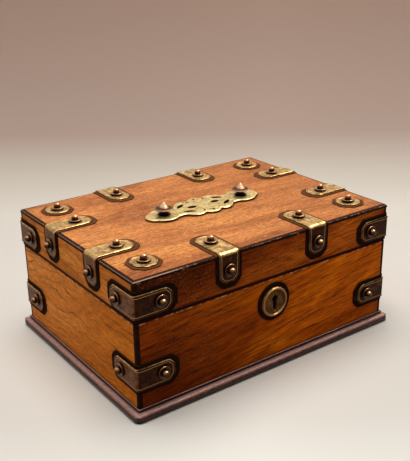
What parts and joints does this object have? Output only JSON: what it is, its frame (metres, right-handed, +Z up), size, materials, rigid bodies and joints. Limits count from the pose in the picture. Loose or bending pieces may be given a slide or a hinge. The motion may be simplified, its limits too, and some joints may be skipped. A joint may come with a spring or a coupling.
{
  "type": "brass-bound box",
  "caption": "Rectangular wooden coffret with a hinged lid, ebonised edges, brass straps and corner brackets, a pierced handle plate and a lock.",
  "frame": {"origin": "centre of the plinth's underside, on the surface it stands on", "axes": "+X along the front from its left end to its right end, +Y from front to back, +Z up"},
  "size_m": [0.308, 0.23, 0.1415],
  "materials": {
    "body_wood": "worn polish over figured veneer",
    "lid_wood": "worn polish over figured veneer",
    "ebonised": "black stain, waxed",
    "mount_brass": "aged, edges polished",
    "turned_brass": "aged",
    "hinge_brass": "dull",
    "lock_iron": "dull steel",
    "velvet": "short pile"
  },
  "bodies": {
    "case": {"wall_front": "body_wood", "wall_back": "body_wood", "wall_left": "body_wood", "wall_right": "body_wood", "bottom_board": "body_wood", "plinth_front": "ebonised", "plinth_back": "ebonised", "plinth_left": "ebonised", "plinth_right": "ebonised", "body_corner_strips": "ebonised", "body_bracket_beds": "ebonised", "escutcheon_bed": "ebonised", "body_brackets_front": "mount_brass", "body_brackets_back": "mount_brass", "escutcheon": "mount_brass", "body_studs": "turned_brass", "hinge_leaves_body": "hinge_brass", "lock_plate": "hinge_brass", "lock_rim": "lock_iron", "lock_cap": "lock_iron", "lock_pins": "lock_iron", "hinge_pins": "lock_iron", "lock_screws": "lock_iron", "body_hinge_screws": "lock_iron", "floor_pad": "velvet", "lining_front": "velvet", "lining_back": "velvet", "lining_left": "velvet", "lining_right": "velvet"},
    "lid": {"lid_front": "lid_wood", "lid_back": "lid_wood", "lid_left": "lid_wood", "lid_right": "lid_wood", "lid_panel": "lid_wood", "lid_corner_strips": "ebonised", "lid_edging_front": "ebonised", "lid_edging_back": "ebonised", "lid_edging_left": "ebonised", "lid_edging_right": "ebonised", "strap_beds": "ebonised", "straps_front": "mount_brass", "straps_back": "mount_brass", "straps_left": "mount_brass", "straps_right": "mount_brass", "lid_bracket_beds": "ebonised", "lid_brackets_front": "mount_brass", "lid_brackets_back": "mount_brass", "rosette_beds": "ebonised", "rosettes": "mount_brass", "lid_studs": "turned_brass", "handle_plate": "mount_brass", "handle_posts": "turned_brass", "post_nuts": "turned_brass", "link_plate": "hinge_brass", "lid_screws": "lock_iron", "hinge_leaves_lid": "hinge_brass", "lid_pad": "velvet", "lid_linings": "velvet"},
    "bolt": {"lock_bolt": "lock_iron", "bolt_spring": "lock_iron"}
  },
  "joints": [
    {"name": "lid_hinge", "type": "hinge", "parent": "case", "child": "lid", "pos_m": [0, 0.1084, 0.08965], "axis": [-1, 0, 0], "range_deg": [0, 95]},
    {"name": "lock_bolt_slide", "type": "slide", "parent": "case", "child": "bolt", "axis": [1, 0, 0], "range_m": [0, 0.004]}
  ]
}
